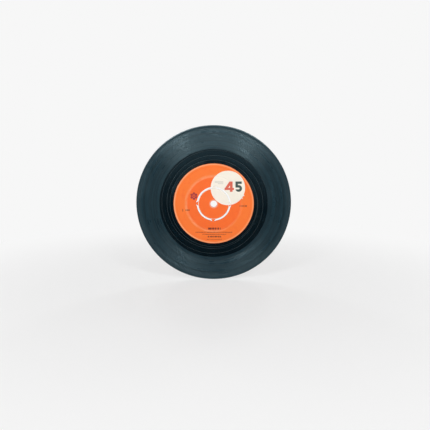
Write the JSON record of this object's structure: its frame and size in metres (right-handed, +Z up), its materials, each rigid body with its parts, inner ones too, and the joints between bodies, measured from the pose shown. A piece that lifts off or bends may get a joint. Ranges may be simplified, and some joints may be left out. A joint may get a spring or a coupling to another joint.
{
  "type": "vinyl record",
  "caption": "Seven inch vinyl record with a spiral groove on each side, paper labels, a spindle hole and a push-out centre held by bridges.",
  "frame": {"origin": "middle of the spindle hole, half way through the record's thickness", "axes": "+Y along the spindle hole, out of side B; side A faces -Y; +Z up, with the record upright on its edge"},
  "size_m": [0.1746, 0.0018, 0.1746],
  "materials": {
    "vinyl": "pressed black vinyl, glossy, greyer where the fine grooves are",
    "label_paper_a": "satin label paper, printed orange with a cream disc",
    "label_paper_b": "satin label paper, printed orange with a cream disc"
  },
  "bodies": {
    "record": {"vinyl_disc": "vinyl", "label_ring_a": "label_paper_a", "label_ring_b": "label_paper_b"},
    "centre": {"push_out_centre": "vinyl", "label_centre_a": "label_paper_a", "label_centre_b": "label_paper_b"}
  },
  "joints": [
    {"name": "centre_push", "type": "slide", "parent": "record", "child": "centre", "axis": [0, 1, 0], "range_m": [-0.01, 0.01]}
  ]
}
